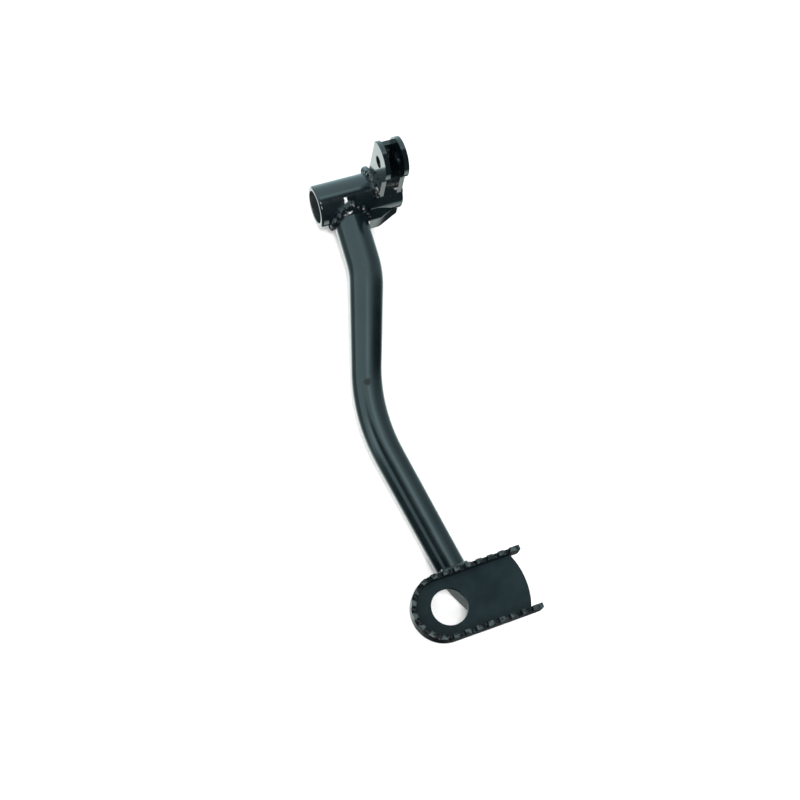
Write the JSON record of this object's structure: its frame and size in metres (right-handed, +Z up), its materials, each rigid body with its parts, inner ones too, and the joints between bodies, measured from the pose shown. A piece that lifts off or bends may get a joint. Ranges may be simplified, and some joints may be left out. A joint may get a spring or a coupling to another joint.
{
  "type": "motorcycle brake pedal",
  "caption": "Welded brake pedal: pivot tube, bent tapered arm, pierced clevis lever for the brake rod and a foot tread with a toothed rim.",
  "frame": {"origin": "middle of the pivot bore, on its axis", "axes": "+Y along the pivot bore toward the clevis end, +X from the pivot toward the tread, +Z up with the clevis standing above the pivot"},
  "size_m": [0.2465, 0.0744, 0.0518],
  "materials": {
    "gloss_paint": "gloss black",
    "tread_paint": "satin black",
    "weld_paint": "gloss black over rippled weld"
  },
  "bodies": {
    "root": {"pivot_tube": "gloss_paint", "arm_bar": "gloss_paint", "rod_lever": "gloss_paint", "heel_lug": "gloss_paint", "tread_plate": "tread_paint", "tread_rim": "tread_paint", "arm_bead": "weld_paint", "left_lever_bead": "weld_paint", "right_lever_bead": "weld_paint", "rim_bead": "weld_paint", "left_tread_bead": "weld_paint", "right_tread_bead": "weld_paint"}
  },
  "joints": []
}
